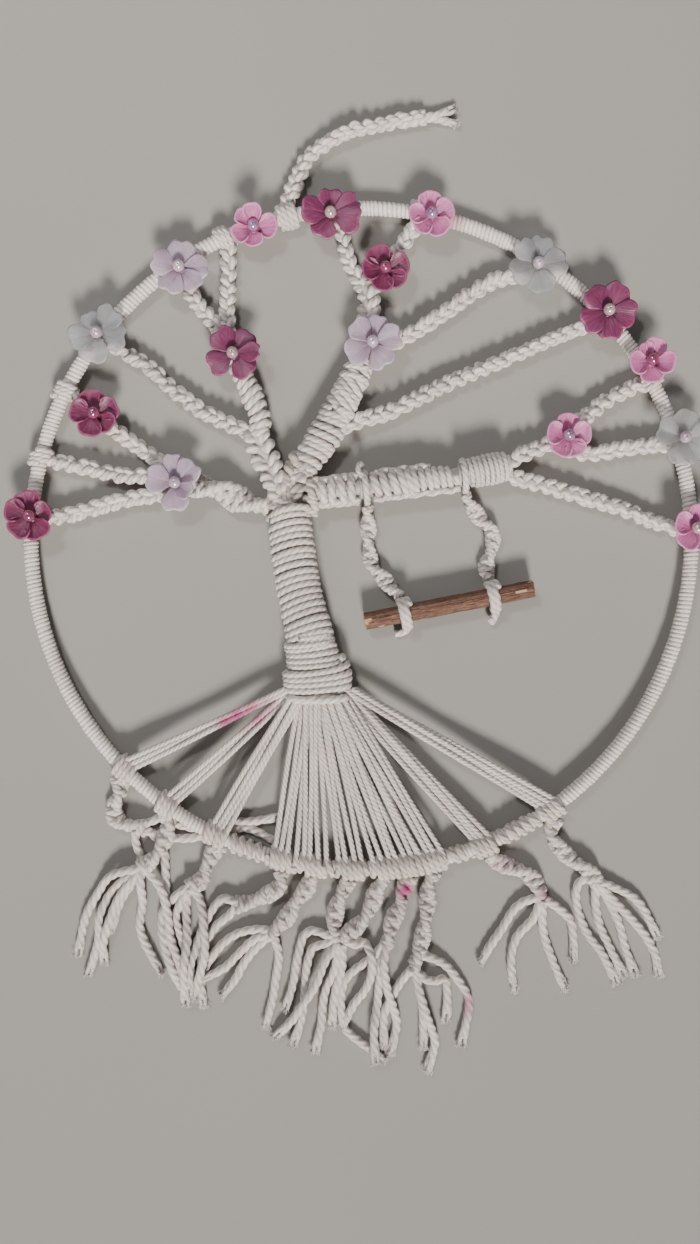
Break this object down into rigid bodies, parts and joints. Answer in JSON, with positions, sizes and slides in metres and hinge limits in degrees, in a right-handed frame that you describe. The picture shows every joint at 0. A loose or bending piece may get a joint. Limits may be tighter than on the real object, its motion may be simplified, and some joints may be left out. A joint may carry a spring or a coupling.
{
  "type": "macrame tree of life wall hanging",
  "caption": "Tree knotted in white cotton cord inside a wrapped hoop, with petal flowers, bead centres, tasselled roots, a hanging cord and a small stick swing.",
  "frame": {"origin": "centre of the hoop, on the surface that the hoop lies on", "axes": "+X to the tree's right, +Y up the tree, +Z out of its face"},
  "size_m": [0.3183, 0.4383, 0.0174],
  "materials": {
    "cotton_cord": "matt twisted cotton",
    "hoop_wire": "drawn wire",
    "bark": "rough bark, raw ends",
    "petal_dark_large": "frosted, dark pink",
    "petal_dark_small": "frosted, deep pink",
    "petal_light_small": "frosted, light pink",
    "petal_clear": "frosted, clear",
    "petal_lilac": "frosted, lilac",
    "bead_pearl": "pearl",
    "bead_pink": "pearl, pink",
    "bead_purple": "pearl, purple"
  },
  "bodies": {
    "root": {"hoop_ring": "hoop_wire", "hoop_wrap": "cotton_cord", "twig_hitches": "cotton_cord", "root_hitches": "cotton_cord", "trunk_core": "cotton_cord", "trunk_wrap": "cotton_cord", "foot_collar": "cotton_cord", "crotch_knot": "cotton_cord", "limb_left_low": "cotton_cord", "limb_left_high": "cotton_cord", "limb_left_top": "cotton_cord", "limb_right_high": "cotton_cord", "limb_right_top": "cotton_cord", "limb_right_low": "cotton_cord", "limb_right_knot": "cotton_cord", "twig_left_low_upper": "cotton_cord", "twig_left_low_middle": "cotton_cord", "twig_left_low_lower": "cotton_cord", "twig_left_high_side": "cotton_cord", "twig_left_high_fork": "cotton_cord", "twig_left_high_tip": "cotton_cord", "twig_right_high_side": "cotton_cord", "twig_right_high_fork": "cotton_cord", "twig_right_top_left": "cotton_cord", "twig_right_top_right": "cotton_cord", "twig_right_low_upper": "cotton_cord", "twig_right_low_middle": "cotton_cord", "twig_right_low_lower": "cotton_cord", "root_fan": "cotton_cord", "root_tail_1": "cotton_cord", "root_tail_2": "cotton_cord", "root_tail_3": "cotton_cord", "root_tail_4": "cotton_cord", "root_tail_5": "cotton_cord", "root_tail_6": "cotton_cord", "root_tail_7": "cotton_cord", "root_tail_8": "cotton_cord", "root_tail_9": "cotton_cord", "root_tail_10": "cotton_cord", "root_tail_11": "cotton_cord", "hanger": "cotton_cord", "flowers_dark_large": "petal_dark_large", "flowers_dark_small": "petal_dark_small", "flowers_light_small": "petal_light_small", "flowers_clear": "petal_clear", "flowers_lilac": "petal_lilac", "beads_pearl": "bead_pearl", "beads_pink": "bead_pink", "beads_purple": "bead_purple"},
    "swing_ropes": {"swing_limb_loops": "cotton_cord", "swing_rope_left": "cotton_cord", "swing_rope_right": "cotton_cord", "swing_stick_loops": "cotton_cord"},
    "swing_stick": {"swing_stick": "bark"}
  },
  "joints": [
    {"name": "swing_hinge", "type": "hinge", "parent": "root", "child": "swing_ropes", "pos_m": [0.002, 0.0225, 0.0086], "axis": [-0.9932, -0.1167, 0], "range_deg": [0, 100]},
    {"name": "stick_roll", "type": "hinge", "parent": "swing_ropes", "child": "swing_stick", "pos_m": [0.0397, -0.0303, 0.0074], "axis": [0.9816, 0.1908, 0], "continuous": true}
  ]
}
